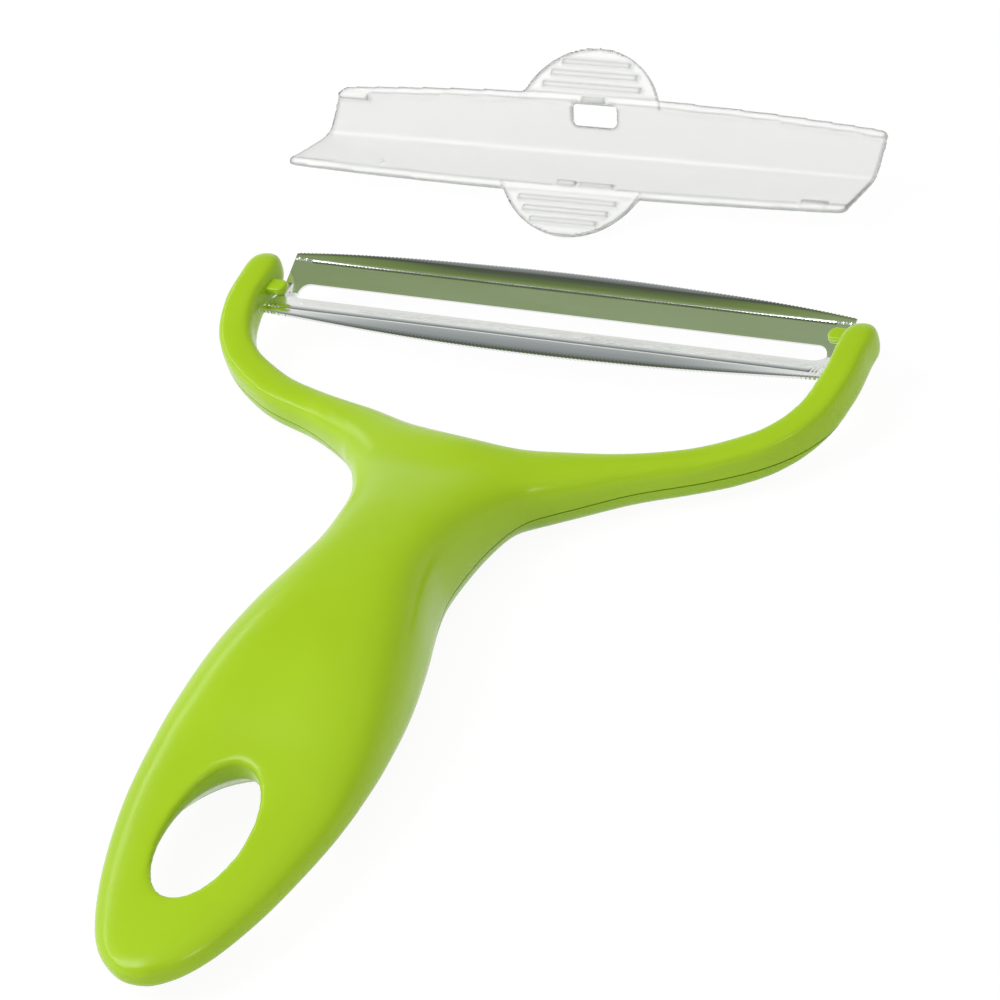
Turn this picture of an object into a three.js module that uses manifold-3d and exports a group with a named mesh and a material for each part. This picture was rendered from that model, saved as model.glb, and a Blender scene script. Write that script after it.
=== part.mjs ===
// Wide cabbage slicer: a yoke handle in two shells, a swinging slotted blade and its clear cover laid aside.
// Millimetres, +Z up. The origin is on the table under the thickest part of the grip, +Y runs to the head.
import * as THREE from 'three';
import { mergeVertices } from 'three/addons/utils/BufferGeometryUtils.js';
import Module from 'manifold-3d';

const wasm = await Module();
wasm.setup();
const { Manifold, Mesh } = wasm;

// Driving dimensions: the blade sets the width of the head, the pivot sets every height around it.
const BLADE_LENGTH = 108.4;
const BLADE_END_WIDTH = 14.2;
const BLADE_MID_WIDTH = 20.4;
const BLADE_THICK = 0.7;
const VALLEY_RISE = 1.5;
const OUTER_RISE = 0.8;
const SLOT_END_WEB = 3.2;
const SLOT_WIDTH = 4;
const TAB_LENGTH = 3.2;
const TAB_WIDTH = 3.2;
const PIVOT_HEIGHT = 7.5;
const GRIP_TO_PIVOT = 80;
const TAIL_TO_PIVOT = 160.2;
const NECK_TO_PIVOT = 67;
const YOKE_TO_PIVOT = 42;
const GRIP_HALF_WIDTH = 20;
const NECK_HALF_WIDTH = 12.4;
const GRIP_TOP = 19.4;
const YOKE_HALF_WIDTH = 7.4;
const YOKE_TOP = 13.4;
const ARM_HALF_WIDTH = 3;
const ARM_HALF_HEIGHT = 3.8;
const ARM_LIFT = 0.8;
const LOWER_REACH = 8;
const HOLE_HALF_WIDTH = 7.5;
const HOLE_HALF_LENGTH = 15;
const HOLE_TO_TAIL = 15.6;
const PARTING_HEIGHT = 4.6;
const SHELL_WALL = 2.4;
const PEG_RADIUS = 1.8;
const PEG_DEPTH = 1.4;
const TONGUE_HALF = 1.7;
const TONGUE_REACH = 4.4;
const TONGUE_THICK = 1.8;
const TONGUE_CLEAR = 1.8;
const COVER_LENGTH = 108.4;
const COVER_END_HALF = 7.7;
const COVER_END_SLANT = 2.8;
const COVER_MID_HALF = 8.8;
const COVER_RISE = 4;
const COVER_WALL = 1.2;
const FINGER_HALF = 13.2;
const FINGER_REACH = 9;
const COVER_TILT_DEG = 32.9;
const COVER_YAW_DEG = 2.6;
const COVER_SHIFT_X = -12.7;
const COVER_SHIFT_Y = 43;
const COVER_CLEAR = 0.4;
const END_GAP = 1.2;
const TIP_REACH = 3.3;
const GRIP_SQUARE = 2.4;
const YOKE_SQUARE = 2.6;
const ARM_SQUARE = 4.2;
const SOCKET_PLAY = 0.6;
const FIT_GAP = 0.3;

// Derived places shared by several pieces.
const PIVOT_Y = GRIP_TO_PIVOT;
const ARM_INNER_X = BLADE_LENGTH / 2 + END_GAP;
const ARM_CENTRE_X = ARM_INNER_X + ARM_HALF_WIDTH;
const TAIL_Y = PIVOT_Y - TAIL_TO_PIVOT;
const NECK_Y = PIVOT_Y - NECK_TO_PIVOT;
const YOKE_Y = PIVOT_Y - YOKE_TO_PIVOT;
const HOLE_Y = TAIL_Y + HOLE_HALF_LENGTH + HOLE_TO_TAIL;
const SOCKET_RADIUS = TAB_WIDTH / 2 + SOCKET_PLAY;
const TAB_END_X = BLADE_LENGTH / 2 + TAB_LENGTH;

const lime = () => new THREE.MeshStandardMaterial({ color: 0xa3ce2b, roughness: 0.3, metalness: 0 });
const darkLime = () => new THREE.MeshStandardMaterial({ color: 0x94bf2a, roughness: 0.35, metalness: 0 });
const steel = () => new THREE.MeshStandardMaterial({ color: 0xc9cbc8, roughness: 0.28, metalness: 1 });
const clear = () => {
  const look = new THREE.MeshStandardMaterial({ color: 0xeef0ee, roughness: 0.2, metalness: 0 });
  look.transparent = true;
  look.opacity = 0.45;
  return look;
};

// A three.js geometry becomes a solid once its doubled vertices are joined and its faces look outward.
function solid(geometry) {
  const bare = geometry.clone();
  for (const name of Object.keys(bare.attributes)) {
    if (name !== 'position') bare.deleteAttribute(name);
  }
  const joined = mergeVertices(bare, 1e-4);
  const place = joined.getAttribute('position');
  const corners = Array.from(joined.getIndex().array);
  const faces = [];
  let volume = 0;
  const a = new THREE.Vector3();
  const b = new THREE.Vector3();
  const c = new THREE.Vector3();
  for (let i = 0; i < corners.length; i += 3) {
    const [p, q, r] = corners.slice(i, i + 3);
    if (p === q || q === r || r === p) continue;
    a.fromBufferAttribute(place, p);
    b.fromBufferAttribute(place, q);
    c.fromBufferAttribute(place, r);
    volume += a.dot(b.cross(c));
    faces.push(p, q, r);
  }
  if (volume < 0) faces.reverse();
  const mesh = new Mesh({
    numProp: 3,
    vertProperties: Float32Array.from(place.array),
    triVerts: Uint32Array.from(faces),
  });
  mesh.merge();
  return new Manifold(mesh);
}

function named(name, body, material) {
  const raw = body.getMesh();
  const geometry = new THREE.BufferGeometry();
  geometry.setAttribute('position', new THREE.Float32BufferAttribute(raw.vertProperties, 3));
  geometry.setIndex(Array.from(raw.triVerts));
  geometry.computeVertexNormals();
  const mesh = new THREE.Mesh(geometry, material);
  mesh.name = name;
  return mesh;
}

function box(x0, x1, y0, y1, z0, z1) {
  const geometry = new THREE.BoxGeometry(x1 - x0, y1 - y0, z1 - z0);
  geometry.translate((x0 + x1) / 2, (y0 + y1) / 2, (z0 + z1) / 2);
  return solid(geometry);
}

function post(x, y, radius, z0, z1) {
  const geometry = new THREE.CylinderGeometry(radius, radius, z1 - z0, 24);
  geometry.rotateX(Math.PI / 2);
  geometry.translate(x, y, (z0 + z1) / 2);
  return solid(geometry);
}

function slab(shape, z0, z1, curveSegments = 24) {
  const geometry = new THREE.ExtrudeGeometry(shape, { depth: z1 - z0, bevelEnabled: false, curveSegments });
  geometry.translate(0, 0, z0);
  return solid(geometry);
}

// A profile drawn across (y, z) and run along X over the given length, centred.
function runAlongX(points, length) {
  const shape = new THREE.Shape(points.map(([y, z]) => new THREE.Vector2(y, z)));
  const geometry = new THREE.ExtrudeGeometry(shape, { depth: length, bevelEnabled: false });
  geometry.translate(0, 0, -length / 2);
  const turn = new THREE.Matrix4().makeBasis(
    new THREE.Vector3(0, 1, 0),
    new THREE.Vector3(0, 0, 1),
    new THREE.Vector3(1, 0, 0),
  );
  geometry.applyMatrix4(turn);
  return solid(geometry);
}

// A smooth bar: a lathed tube whose rings are moved onto stations with a soft-cornered section.
// Each station is { x, y, side: [sx, sy], half, low, wide, high, square }, where wide is the height of its
// widest line and square tells how square its section is; the first and last close the ends.
function bar(stations, around) {
  const rows = stations.map((s, i) => new THREE.Vector2(s.half > 0 ? 1 : 0, i));
  const geometry = new THREE.LatheGeometry(rows, around);
  const place = geometry.getAttribute('position');
  const soft = (v, square) => Math.sign(v) * Math.abs(v) ** (2 / square);
  for (let i = 0; i <= around; i += 1) {
    const turn = (i % around) * 2 * Math.PI / around;
    for (let j = 0; j < stations.length; j += 1) {
      const s = stations[j];
      const across = s.half * soft(Math.cos(turn), s.square);
      const up = soft(Math.sin(turn), s.square);
      const rise = up > 0 ? s.high - s.wide : s.wide - s.low;
      const z = s.half > 0 ? s.wide + up * rise : s.wide;
      place.setXYZ(i * stations.length + j, s.x + s.side[0] * across, s.y + s.side[1] * across, z);
    }
  }
  return solid(geometry);
}

// Values between given keys, smooth in between.
function keyed(keys) {
  const curve = new THREE.CatmullRomCurve3(keys.map((k) => new THREE.Vector3(...k)), false, 'centripetal');
  return (t) => curve.getPoint(t);
}

// The grip: a teardrop from the thin tail to the yoke, given as places along Y, half widths and heights.
function gripStations(inset) {
  const span = NECK_Y - TAIL_Y;
  const rows = [
    [TAIL_Y + 0.4, 0.12 * GRIP_HALF_WIDTH, 4.8, 6, 0.38 * GRIP_TOP],
    [TAIL_Y + 0.017 * span, 0.245 * GRIP_HALF_WIDTH, 3.8, 6, 0.43 * GRIP_TOP],
    [TAIL_Y + 0.047 * span, 0.425 * GRIP_HALF_WIDTH, 3.4, 6.1, 0.46 * GRIP_TOP],
    [TAIL_Y + 0.1 * span, 0.59 * GRIP_HALF_WIDTH, 3.2, 6.2, 0.495 * GRIP_TOP],
    [TAIL_Y + 0.191 * span, 0.765 * GRIP_HALF_WIDTH, 3.2, 6.5, 0.535 * GRIP_TOP],
    [TAIL_Y + 0.293 * span, 0.895 * GRIP_HALF_WIDTH, 3.2, 7, 0.577 * GRIP_TOP],
    [TAIL_Y + 0.389 * span, 0.975 * GRIP_HALF_WIDTH, 3.2, 7.3, 0.63 * GRIP_TOP],
    [TAIL_Y + 0.486 * span, GRIP_HALF_WIDTH, 2.8, 7.6, 0.71 * GRIP_TOP],
    [TAIL_Y + 0.582 * span, 0.99 * GRIP_HALF_WIDTH, 1.8, 8, 0.835 * GRIP_TOP],
    [TAIL_Y + 0.7 * span, 0.93 * GRIP_HALF_WIDTH, 0, 8.6, 0.96 * GRIP_TOP],
    [TAIL_Y + 0.818 * span, 0.825 * GRIP_HALF_WIDTH, -0.8, 9, GRIP_TOP],
    [TAIL_Y + 0.925 * span, 1.11 * NECK_HALF_WIDTH, -0.8, 9, 0.98 * GRIP_TOP],
    [NECK_Y, NECK_HALF_WIDTH, -0.8, 8.6, 0.94 * GRIP_TOP],
    [NECK_Y + 7.5, 1.04 * NECK_HALF_WIDTH, -0.8, 8, 0.875 * GRIP_TOP],
    [NECK_Y + 13, 1.14 * NECK_HALF_WIDTH, -0.6, 7.4, 0.815 * GRIP_TOP],
    [NECK_Y + 17.5, 1.3 * NECK_HALF_WIDTH, -0.3, 7.2, 0.753 * GRIP_TOP],
    [NECK_Y + 21, 1.48 * NECK_HALF_WIDTH, 0.3, 7.4, 0.7 * GRIP_TOP],
    [NECK_Y + 24.5, 1.69 * NECK_HALF_WIDTH, 0.8, 7.4, 0.64 * GRIP_TOP],
    [NECK_Y + 28, 1.94 * NECK_HALF_WIDTH, 1.4, 7.2, 0.557 * GRIP_TOP],
  ];
  const along = keyed(rows.map(([y, half]) => [half, y, 0]));
  const heights = keyed(rows.map(([, , low, wide, high]) => [low, wide, high]));
  const count = 36;
  const plain = { x: 0, side: [1, 0], square: GRIP_SQUARE };
  const stations = [{ ...plain, y: TAIL_Y, half: 0, wide: 6 }];
  for (let i = 0; i <= count; i += 1) {
    const p = along(i / count);
    const h = heights(i / count);
    stations.push({ ...plain, y: p.y, half: p.x - inset, low: h.x + inset, wide: h.y, high: h.z - inset });
  }
  const last = stations[stations.length - 1];
  stations.push({ ...plain, y: last.y + 1, half: 0, wide: last.wide });
  return stations;
}

// The yoke: one bar from tip to tip around the blade, deep in the middle, with slim and squarer arms.
// Its left arm stands a little further forward than its right one.
function yokeStations() {
  const armMid = PIVOT_HEIGHT + ARM_LIFT;
  const armLow = armMid - ARM_HALF_HEIGHT;
  const armHigh = armMid + ARM_HALF_HEIGHT;
  const armRows = (side, places) => {
    const shapes = [
      [0.97 * YOKE_HALF_WIDTH, -0.4, 6.5, 0.93 * YOKE_TOP],
      [0.74 * YOKE_HALF_WIDTH, 0.1, 6, 0.8 * YOKE_TOP],
      [0.5 * YOKE_HALF_WIDTH, 0.7, 5.4, 0.7 * YOKE_TOP],
      [1.07 * ARM_HALF_WIDTH, 1, 5.4, 0.653 * YOKE_TOP],
      [ARM_HALF_WIDTH, 1.2, 5.8, 0.664 * YOKE_TOP],
      [ARM_HALF_WIDTH, 2, 6.6, 0.74 * YOKE_TOP],
      [ARM_HALF_WIDTH, armLow - 0.9, armMid - 0.5, armHigh - 0.7],
    ];
    const rows = shapes.map((shape, i) => {
      const [out, ahead] = places[i];
      return [side * out * ARM_CENTRE_X, YOKE_Y + ahead, ...shape];
    });
    const end = [ARM_HALF_WIDTH, armLow, armMid, armHigh];
    rows.push([side * ARM_CENTRE_X, PIVOT_Y - 1.4, ...end]);
    rows.push([side * ARM_CENTRE_X, PIVOT_Y + 1.6, ...end]);
    return rows;
  };
  const rightPlaces = [
    [0.171, 0.4], [0.334, 3.8], [0.514, 8.1], [0.719, 12.9], [0.877, 18.5], [0.967, 25.4], [1.002, 33.6],
  ];
  const leftPlaces = [
    [0.188, 3.6], [0.368, 8.6], [0.548, 12.9], [0.728, 16.6], [0.884, 22], [0.969, 27.8], [1, 34.4],
  ];
  const middle = [0, YOKE_Y + 0.6, YOKE_HALF_WIDTH, -0.5, 6.8, YOKE_TOP];
  const all = armRows(-1, leftPlaces).reverse().concat([middle], armRows(1, rightPlaces));
  const path = keyed(all.map(([x, y, half]) => [x, y, half]));
  const heights = keyed(all.map(([, , , low, wide, high]) => [low, wide, high]));
  const count = 56;
  const stations = [];
  for (let i = 0; i <= count; i += 1) {
    const p = path(i / count);
    const h = heights(i / count);
    const before = path(Math.max(0, i - 0.4) / count);
    const after = path(Math.min(count, i + 0.4) / count);
    const way = after.sub(before).setZ(0).normalize();
    const outward = Math.min(1, Math.abs(p.x) / (0.7 * ARM_CENTRE_X));
    const square = YOKE_SQUARE + (ARM_SQUARE - YOKE_SQUARE) * outward;
    const side = [way.y, -way.x];
    stations.push({ x: p.x, y: p.y, side, half: p.z, low: h.x, wide: h.y, high: h.z, square });
  }
  // Rounded tips, one at each end of the bar.
  const tip = (end) => [0.5, 0.8, 0.96, 1].map((t) => {
    const shrink = Math.sqrt(1 - t * t);
    const half = end.half * shrink;
    const reach = ARM_HALF_HEIGHT * shrink;
    return { ...end, y: end.y + TIP_REACH * t, half, low: armMid - reach, high: armMid + reach };
  });
  const left = tip(stations[0]).reverse();
  const right = tip(stations[stations.length - 1]);
  return left.concat(stations, right);
}

// One handle body before the split: grip and yoke joined, trimmed flat on the table, holed at the tail.
const holeShape = new THREE.Shape();
holeShape.absellipse(0, HOLE_Y, HOLE_HALF_WIDTH, HOLE_HALF_LENGTH, 0, 2 * Math.PI);
const BEYOND = 300;
const table = box(-BEYOND, BEYOND, -BEYOND, BEYOND, -BEYOND, 0);
const hangingHole = slab(holeShape, -BEYOND, BEYOND, 20);
const cavityFrom = HOLE_Y + HOLE_HALF_LENGTH + 8;
const cavityTo = NECK_Y + 4;
const cavityStations = gripStations(SHELL_WALL).filter((s) => s.y > cavityFrom && s.y < cavityTo);
const cavityStart = { ...cavityStations[0], y: cavityStations[0].y - 1.5, half: 0 };
const cavityLast = cavityStations[cavityStations.length - 1];
const cavityEnd = { ...cavityLast, y: cavityLast.y + 1.5, half: 0 };
const cavity = bar([cavityStart, ...cavityStations, cavityEnd], 28);
const handle = bar(gripStations(0), 36)
  .add(bar(yokeStations(), 28))
  .subtract(table)
  .subtract(hangingHole)
  .subtract(cavity);

// Locating pegs on the upper shell sit in sockets of the lower shell.
const pegPlaces = [
  [0, HOLE_Y + HOLE_HALF_LENGTH + 4.5],
  [0, YOKE_Y - 3],
  [-0.36 * ARM_CENTRE_X, YOKE_Y + 8.5],
  [0.36 * ARM_CENTRE_X, YOKE_Y + 4.5],
];

// Lower shell: the flat underside with the hanging hole, open above into the hollow grip.
const lowerEnd = PIVOT_Y - LOWER_REACH;
const lowerRoom = (gap) => box(-BEYOND, BEYOND, -BEYOND, lowerEnd + gap, -BEYOND, PARTING_HEIGHT + gap);
let lowerShell = handle.intersect(lowerRoom(-FIT_GAP / 2));
for (const [x, y] of pegPlaces) {
  const floor = PARTING_HEIGHT - PEG_DEPTH - FIT_GAP;
  lowerShell = lowerShell.subtract(post(x, y, PEG_RADIUS + FIT_GAP, floor, PARTING_HEIGHT + 1));
}

// Upper shell: the domed top, both arms with their blade sockets, the stop tongues and the pegs.
let upperShell = handle.subtract(lowerRoom(FIT_GAP / 2));
for (const [x, y] of pegPlaces) {
  upperShell = upperShell.add(post(x, y, PEG_RADIUS, PARTING_HEIGHT - PEG_DEPTH, PARTING_HEIGHT + 3));
}
const tongueLow = PIVOT_HEIGHT + TONGUE_CLEAR;
for (const side of [-1, 1]) {
  const tongue = new THREE.Shape();
  const tipX = side * (ARM_INNER_X - TONGUE_REACH + TONGUE_HALF);
  const rootX = side * (ARM_INNER_X + 1.6);
  const tipTurn = side > 0 ? Math.PI / 2 : -Math.PI / 2;
  tongue.moveTo(rootX, PIVOT_Y + side * TONGUE_HALF);
  tongue.lineTo(tipX, PIVOT_Y + side * TONGUE_HALF);
  tongue.absarc(tipX, PIVOT_Y, TONGUE_HALF, tipTurn, tipTurn + Math.PI, false);
  tongue.lineTo(rootX, PIVOT_Y - side * TONGUE_HALF);
  upperShell = upperShell.add(slab(tongue, tongueLow, tongueLow + TONGUE_THICK, 10));
  const socket = new THREE.CylinderGeometry(SOCKET_RADIUS, SOCKET_RADIUS, TAB_LENGTH + 2, 24);
  socket.rotateZ(Math.PI / 2);
  const socketEnd = TAB_END_X + 0.5;
  socket.translate(side * (socketEnd - (TAB_LENGTH + 2) / 2), PIVOT_Y, PIVOT_HEIGHT);
  const socketFrom = ARM_INNER_X - FIT_GAP;
  const betweenArms = box(-socketFrom, socketFrom, 0, BEYOND, 0, BEYOND);
  upperShell = upperShell.subtract(solid(socket).subtract(betweenArms));
}

// Blade: a thin strip bent into a shallow valley, bowed along both cutting edges, slotted in the middle.
const bendAt = BLADE_END_WIDTH / 2 - 1.2;
const midHalf = BLADE_MID_WIDTH / 2;
const skin = BLADE_THICK / 2;
const bladeTop = [
  [-midHalf - 1, VALLEY_RISE + OUTER_RISE],
  [-bendAt, VALLEY_RISE],
  [0, 0],
  [bendAt, VALLEY_RISE],
  [midHalf + 1, VALLEY_RISE + OUTER_RISE],
];
const bladeSection = bladeTop.map(([y, z]) => [y, z - skin])
  .concat(bladeTop.slice().reverse().map(([y, z]) => [y, z + skin]));
const barrel = new THREE.Shape();
const bow = 2 * (midHalf - BLADE_END_WIDTH / 2);
barrel.moveTo(-BLADE_LENGTH / 2, -BLADE_END_WIDTH / 2);
barrel.quadraticCurveTo(0, -BLADE_END_WIDTH / 2 - bow, BLADE_LENGTH / 2, -BLADE_END_WIDTH / 2);
barrel.lineTo(BLADE_LENGTH / 2, BLADE_END_WIDTH / 2);
barrel.quadraticCurveTo(0, BLADE_END_WIDTH / 2 + bow, -BLADE_LENGTH / 2, BLADE_END_WIDTH / 2);
const slot = new THREE.Shape();
const slotLength = BLADE_LENGTH - 2 * SLOT_END_WEB;
const slotStraight = (slotLength - SLOT_WIDTH) / 2;
slot.absarc(slotStraight, 0, SLOT_WIDTH / 2, -Math.PI / 2, Math.PI / 2, false);
slot.absarc(-slotStraight, 0, SLOT_WIDTH / 2, Math.PI / 2, 1.5 * Math.PI, false);
const tabs = [[-TAB_WIDTH / 2, -skin], [TAB_WIDTH / 2, -skin], [TAB_WIDTH / 2, skin], [-TAB_WIDTH / 2, skin]];
const tabFrom = slotLength / 2 + 1;
const tabStrip = runAlongX(tabs, 2 * TAB_END_X)
  .subtract(box(-tabFrom, tabFrom, -BEYOND, BEYOND, -BEYOND, BEYOND));
const blade = runAlongX(bladeSection, BLADE_LENGTH + 4)
  .intersect(slab(barrel, -BEYOND, BEYOND, 24))
  .add(tabStrip)
  .subtract(slab(slot, -BEYOND, BEYOND, 8))
  .translate([0, PIVOT_Y, PIVOT_HEIGHT]);

// Cover: a clear trough with bowed long edges, a finger grip on each side, a window with a catch and end stops.
const coverWide = COVER_MID_HALF + FINGER_REACH + 1;
const lip = COVER_END_HALF - 0.6;
const coverTop = [
  [-coverWide, COVER_RISE],
  [-lip, COVER_RISE],
  [-1, 0.3],
  [1, 0.3],
  [lip, COVER_RISE],
  [coverWide, COVER_RISE],
];
const coverSection = coverTop.map(([y, z]) => [y, z - COVER_WALL])
  .concat(coverTop.slice().reverse());
const coverOutline = new THREE.Shape();
const coverBow = 2 * (COVER_MID_HALF - COVER_END_HALF);
const coverEnd = COVER_LENGTH / 2;
coverOutline.moveTo(-coverEnd - COVER_END_SLANT, -COVER_END_HALF);
coverOutline.quadraticCurveTo(0, -COVER_END_HALF - coverBow, coverEnd - COVER_END_SLANT, -COVER_END_HALF);
coverOutline.lineTo(coverEnd + COVER_END_SLANT, COVER_END_HALF);
coverOutline.quadraticCurveTo(0, COVER_END_HALF + coverBow, -coverEnd + COVER_END_SLANT, COVER_END_HALF);
const fingerShape = new THREE.Shape();
const fingerRadius = (FINGER_HALF ** 2 + FINGER_REACH ** 2) / (2 * FINGER_REACH);
const fingerCentre = COVER_MID_HALF + FINGER_REACH - fingerRadius;
fingerShape.absarc(0, fingerCentre, fingerRadius, 0, 2 * Math.PI, false);
const fingerDisc = slab(fingerShape, -BEYOND, BEYOND, 40)
  .subtract(box(-BEYOND, BEYOND, -BEYOND, COVER_END_HALF, -2 * BEYOND, 2 * BEYOND));
const coverPlan = slab(coverOutline, -BEYOND, BEYOND, 16)
  .add(fingerDisc)
  .add(fingerDisc.mirror([0, 1, 0]));
let cover = runAlongX(coverSection, COVER_LENGTH + 3 * COVER_END_SLANT).intersect(coverPlan);
for (const side of [-1, 1]) {
  for (const place of [0.12, 0.36, 0.6]) {
    const y = side * (COVER_MID_HALF + place * FINGER_REACH + 0.6);
    const reach = 0.72 * Math.sqrt(fingerRadius ** 2 - (Math.abs(y) - fingerCentre) ** 2);
    cover = cover.add(box(-reach, reach, y - 0.4, y + 0.4, COVER_RISE - 0.4, COVER_RISE + 0.4));
  }
}
const windowHalf = 4.4;
cover = cover
  .subtract(box(-windowHalf, windowHalf, 2.6, 6.2, -5, 9))
  .add(box(-windowHalf + 1.2, windowHalf - 1.2, 6, 7.2, COVER_RISE - 0.4, COVER_RISE + 0.8))
  .add(box(-3, 3, -7.4, -6.4, COVER_RISE - 0.6, COVER_RISE + 0.8));

// The cover leans with its lower finger grip touching the table, just as far ahead of the blade as shown.
cover = cover.rotate([COVER_TILT_DEG, 0, 0])
  .rotate([0, 0, COVER_YAW_DEG]);
const coverFoot = cover.boundingBox().min[2];
cover = cover.translate([COVER_SHIFT_X, PIVOT_Y + COVER_SHIFT_Y, COVER_CLEAR - coverFoot]);

const part = new THREE.Group();
part.name = 'cabbage_slicer';
part.add(named('handle_lower_shell', lowerShell, darkLime()));
part.add(named('handle_upper_shell', upperShell, lime()));
part.add(named('blade', blade, steel()));
part.add(named('blade_cover', cover, clear()));

export default part;
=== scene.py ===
import math

import bmesh
import bpy
from mathutils import Matrix, Vector


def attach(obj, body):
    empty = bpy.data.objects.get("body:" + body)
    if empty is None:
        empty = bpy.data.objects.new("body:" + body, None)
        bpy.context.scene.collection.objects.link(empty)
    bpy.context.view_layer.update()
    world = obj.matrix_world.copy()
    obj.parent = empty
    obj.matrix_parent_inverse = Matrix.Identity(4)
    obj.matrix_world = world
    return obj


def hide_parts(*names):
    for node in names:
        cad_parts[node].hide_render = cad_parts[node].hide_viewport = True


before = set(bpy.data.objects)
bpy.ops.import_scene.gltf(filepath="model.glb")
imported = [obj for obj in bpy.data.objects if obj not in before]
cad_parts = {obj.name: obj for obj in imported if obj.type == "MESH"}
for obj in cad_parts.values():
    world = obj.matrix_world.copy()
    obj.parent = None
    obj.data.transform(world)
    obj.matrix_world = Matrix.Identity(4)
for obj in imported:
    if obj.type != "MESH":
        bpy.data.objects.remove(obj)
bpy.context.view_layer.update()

scene = bpy.context.scene
scene.view_settings.view_transform = "Standard"

# Handle blank: the two lime shells share one outer form, a teardrop grip that flares into a slim yoke.
# A grip bar and a yoke bar are swept through the rows below, fused and smoothed into one moulded body.
# Each row gives x, y, half width, underside, height of the widest line, top, and how square the section is.
MM = 0.001
TABLE = 0.0
SAME_POINT = 0.00001
grip_rows = [
    (0, -80.2, 0, 6.0, 6.0, 6.0, 2.4),
    (0, -79.8, 2.3, 4.8, 6.0, 7.4, 2.4),
    (0, -78.6, 4.8, 3.8, 6.0, 8.4, 2.5),
    (0, -75.8, 8.3, 3.4, 6.1, 9.0, 2.6),
    (0, -70.8, 11.6, 3.2, 6.2, 9.6, 2.7),
    (0, -62.4, 15.1, 3.2, 6.5, 10.4, 2.8),
    (0, -53.0, 17.8, 3.2, 7.0, 11.2, 2.8),
    (0, -44.0, 19.6, 3.2, 7.3, 12.2, 2.8),
    (0, -35.0, 20.3, 2.8, 7.6, 13.8, 2.8),
    (0, -26.0, 20.1, 1.8, 8.0, 16.0, 2.8),
    (0, -15.0, 18.7, 0.0, 8.6, 18.2, 2.8),
    (0, -4.0, 16.2, -0.8, 9.0, 19.0, 2.8),
    (0, 6.0, 13.2, -0.8, 9.0, 18.7, 2.9),
    (0, 13.0, 11.8, -0.8, 8.6, 18.0, 3.0),
    (0, 20.5, 12.3, -0.8, 8.0, 16.9, 3.0),
    (0, 26.0, 13.4, -0.6, 7.4, 15.7, 3.0),
    (0, 30.5, 15.2, -0.3, 7.2, 14.6, 3.0),
    (0, 34.0, 17.2, 0.3, 7.4, 13.6, 3.0),
    (0, 37.5, 19.4, 0.8, 7.4, 12.4, 3.0),
    (0, 41.0, 21.4, 1.4, 7.2, 10.8, 3.0),
    (0, 42.5, 0, 7.0, 7.0, 7.0, 3.0),
]
right_arm_rows = [
    (10.0, 38.4, 7.2, -0.4, 6.5, 12.6, 3.0),
    (19.5, 41.8, 5.8, 0.0, 6.0, 10.8, 3.0),
    (30.0, 46.1, 3.8, 0.6, 5.4, 9.4, 3.6),
    (42.0, 50.9, 3.1, 1.2, 5.6, 8.7, 4.0),
    (51.2, 56.5, 3.0, 1.9, 6.2, 8.9, 4.2),
    (56.5, 63.4, 3.0, 3.2, 7.2, 9.9, 4.2),
    (58.5, 71.6, 3.0, 4.8, 8.6, 11.4, 4.2),
    (58.4, 78.6, 3.0, 5.6, 9.2, 12.0, 4.2),
    (58.4, 81.6, 3.0, 5.6, 9.2, 12.0, 4.0),
    (58.4, 83.4, 2.5, 6.1, 9.2, 11.6, 3.4),
    (58.4, 84.6, 1.5, 7.2, 9.2, 10.8, 2.6),
    (58.4, 84.9, 0, 9.2, 9.2, 9.2, 2.4),
]
left_arm_rows = [
    (-11.0, 41.0, 7.2, -0.4, 6.5, 12.4, 3.0),
    (-21.5, 46.6, 5.2, 0.2, 6.0, 10.6, 3.0),
    (-32.0, 50.9, 3.6, 0.8, 5.4, 9.4, 3.6),
    (-42.5, 54.6, 3.3, 1.2, 5.6, 8.8, 4.0),
    (-51.6, 60.0, 3.0, 1.9, 6.2, 8.9, 4.2),
    (-56.6, 65.8, 3.0, 3.2, 7.2, 9.9, 4.2),
    (-58.4, 72.4, 3.0, 4.8, 8.6, 11.4, 4.2),
] + [(-row[0],) + row[1:] for row in right_arm_rows[7:]]
yoke_rows = left_arm_rows[::-1] + [(0, 38.6, 7.4, -0.5, 6.8, 13.4, 3.0)] + right_arm_rows


def row_at(rows, place):
    """The values at a place from 0 to 1 along the rows, eased smoothly from one row to the next."""
    step = min(max(place, 0.0), 1.0) * (len(rows) - 1)
    i = min(int(step), len(rows) - 2)
    t = step - i
    before = rows[max(i - 1, 0)]
    after = rows[min(i + 2, len(rows) - 1)]
    values = []
    for a, b, c, d in zip(before, rows[i], rows[i + 1], after):
        bend = (c - a) * t + (2 * a - 5 * b + 4 * c - d) * t ** 2 + (3 * b - a - 3 * c + d) * t ** 3
        values.append(b + 0.5 * bend)
    return values


def soft(value, power):
    return math.copysign(abs(value) ** (2 / power), value)


SMALL_STEP = 0.002


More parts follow.
